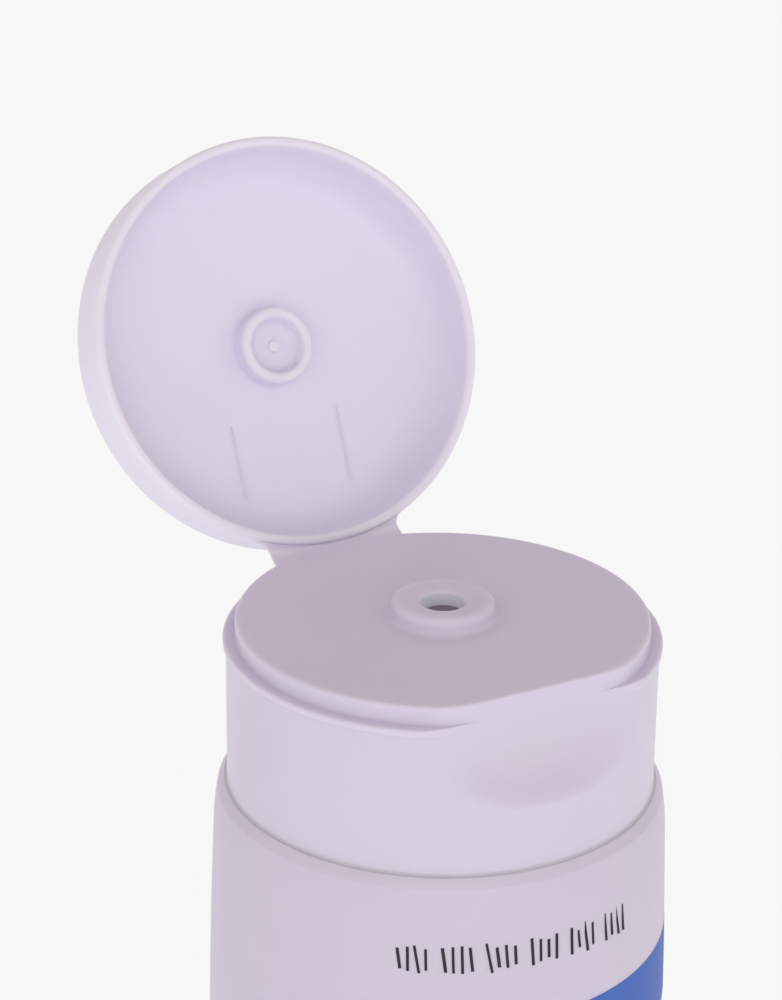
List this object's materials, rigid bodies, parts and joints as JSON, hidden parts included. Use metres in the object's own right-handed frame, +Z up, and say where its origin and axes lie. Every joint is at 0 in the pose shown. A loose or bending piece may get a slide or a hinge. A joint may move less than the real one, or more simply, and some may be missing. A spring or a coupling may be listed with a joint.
{
  "type": "hair gel bottle",
  "caption": "Round squeeze bottle for hair gel with a wide push-on closure, its living-hinge lid standing open over the nozzle.",
  "frame": {"origin": "centre of the bottle's flat base", "axes": "+Z up the bottle's axis through the orifice, -Y towards the thumb scoop, +Y towards the hinge"},
  "size_m": [0.0544, 0.0832, 0.1597],
  "materials": {
    "bottle_plastic": "satin blow-moulded polyethylene",
    "closure_plastic": "satin injection-moulded polypropylene"
  },
  "bodies": {
    "pack": {"bottle": "bottle_plastic", "cap_base": "closure_plastic"},
    "lid": {"lid": "closure_plastic"}
  },
  "joints": [
    {"name": "lid_hinge", "type": "hinge", "parent": "pack", "child": "lid", "pos_m": [0, 0.0258, 0.1148], "axis": [-1, 0, 0], "range_deg": [-117.5, 47.5]}
  ]
}
